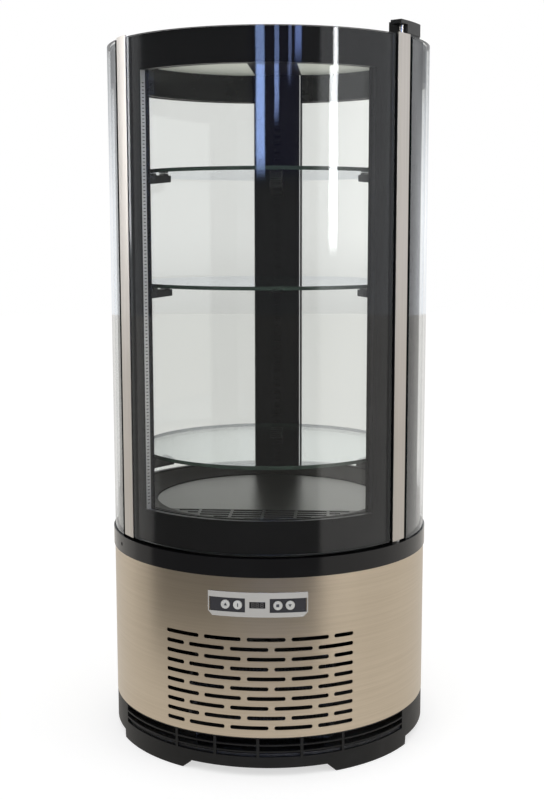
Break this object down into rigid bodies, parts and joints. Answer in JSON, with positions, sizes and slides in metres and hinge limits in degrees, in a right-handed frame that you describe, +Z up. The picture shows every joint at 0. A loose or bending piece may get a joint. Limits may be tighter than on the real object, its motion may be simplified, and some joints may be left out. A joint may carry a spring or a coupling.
{
  "type": "refrigerated display case",
  "caption": "Round glass refrigerated display case on a steel drum, with a curved hinged door, round glass shelves, a flat roof and a push-button panel.",
  "frame": {"origin": "centre of the drum on the floor, under the feet", "axes": "+Z up, -Y out of the door, +X towards the hinge"},
  "size_m": [0.4546, 0.4546, 0.991],
  "materials": {
    "black_plastic": "moulded, fine grain",
    "gloss_black": "gloss",
    "brushed_steel": "brushed, warm grey",
    "bright_steel": "turned, bright",
    "galvanised": "zinc coated sheet",
    "aluminium": "mill finish",
    "copper": "drawn copper",
    "clear_glass": "clear float glass",
    "shelf_glass": "clear glass with a green edge",
    "dark_panel": "dark printed film",
    "silver_panel": "silver lacquer",
    "button_grey": "satin",
    "white_plastic": "satin white",
    "white_paint": "pale grey paint",
    "black_rubber": "soft black",
    "dark_paint": "black paint"
  },
  "bodies": {
    "cabinet": {"back_clip_lower": "black_plastic", "back_clip_middle": "black_plastic", "back_clip_upper": "black_plastic", "back_column": "dark_paint", "base_tray": "galvanised", "body_wrap": "brushed_steel", "button_plate": "dark_panel", "cable_gland": "black_plastic", "ceiling_panel": "white_paint", "collar": "gloss_black", "column_cover": "dark_paint", "compressor": "dark_paint", "condenser": "dark_paint", "condenser_fan_shroud": "black_plastic", "deck_grille": "black_plastic", "deck_plate": "brushed_steel", "deck_rim": "gloss_black", "display_window": "gloss_black", "evaporator": "aluminium", "evaporator_fan_frame": "black_plastic", "hinge_block": "black_plastic", "hinge_bush": "white_plastic", "hinge_foot_pin": "bright_steel", "hinge_pin": "bright_steel", "insulated_tub": "white_plastic", "lamp_bar": "white_plastic", "left_clip_lower": "black_plastic", "left_clip_middle": "black_plastic", "left_clip_upper": "black_plastic", "left_inner_pane": "clear_glass", "left_outer_pane": "clear_glass", "left_pane_spacer": "gloss_black", "left_pillar": "black_plastic", "panel_bezel": "silver_panel", "plinth": "black_plastic", "right_clip_lower": "black_plastic", "right_clip_middle": "black_plastic", "right_clip_upper": "black_plastic", "right_inner_pane": "clear_glass", "right_outer_pane": "clear_glass", "right_pane_spacer": "gloss_black", "right_pillar": "black_plastic", "roof_cap": "gloss_black", "suction_pipe": "copper"},
    "door": {"door_outer_pane": "clear_glass", "door_inner_pane": "clear_glass", "door_spacer": "aluminium", "door_frame": "gloss_black", "door_strip_left": "brushed_steel", "door_strip_right": "brushed_steel", "door_gasket": "black_rubber"},
    "condenser_fan": {"condenser_fan_blades": "black_plastic"},
    "evaporator_fan": {"evaporator_fan_blades": "black_plastic"},
    "shelf_upper": {"shelf_upper": "shelf_glass"},
    "shelf_middle": {"shelf_middle": "shelf_glass"},
    "shelf_lower": {"shelf_lower": "shelf_glass"},
    "button_1": {"button_1": "button_grey"},
    "button_2": {"button_2": "button_grey"},
    "button_3": {"button_3": "button_grey"},
    "button_4": {"button_4": "button_grey"}
  },
  "joints": [
    {"name": "door_swing", "type": "hinge", "parent": "cabinet", "child": "door", "pos_m": [0.18197, -0.11637, 0.3], "axis": [0, 0, 1], "range_deg": [0, 110]},
    {"name": "button_1_push", "type": "slide", "parent": "cabinet", "child": "button_1", "axis": [0.1564, 0.9877, 0], "range_m": [0, 0.001], "stiffness_N_per_m": 400},
    {"name": "button_2_push", "type": "slide", "parent": "cabinet", "child": "button_2", "axis": [0.1564, 0.9877, 0], "range_m": [0, 0.001], "stiffness_N_per_m": 400},
    {"name": "button_3_push", "type": "slide", "parent": "cabinet", "child": "button_3", "axis": [-0.1564, 0.9877, 0], "range_m": [0, 0.001], "stiffness_N_per_m": 400},
    {"name": "button_4_push", "type": "slide", "parent": "cabinet", "child": "button_4", "axis": [-0.1564, 0.9877, 0], "range_m": [0, 0.001], "stiffness_N_per_m": 400},
    {"name": "condenser_fan_spin", "type": "hinge", "parent": "cabinet", "child": "condenser_fan", "pos_m": [0, -0.112, 0.0843], "axis": [0, 1, 0], "continuous": true},
    {"name": "evaporator_fan_spin", "type": "hinge", "parent": "cabinet", "child": "evaporator_fan", "pos_m": [0, 0.044, 0.2573], "axis": [0, 1, 0], "continuous": true},
    {"name": "shelf_upper_lift", "type": "slide", "parent": "cabinet", "child": "shelf_upper", "axis": [0, 0, 1], "range_m": [0, 0.012]},
    {"name": "shelf_middle_lift", "type": "slide", "parent": "cabinet", "child": "shelf_middle", "axis": [0, 0, 1], "range_m": [0, 0.012]},
    {"name": "shelf_lower_lift", "type": "slide", "parent": "cabinet", "child": "shelf_lower", "axis": [0, 0, 1], "range_m": [0, 0.012]}
  ]
}
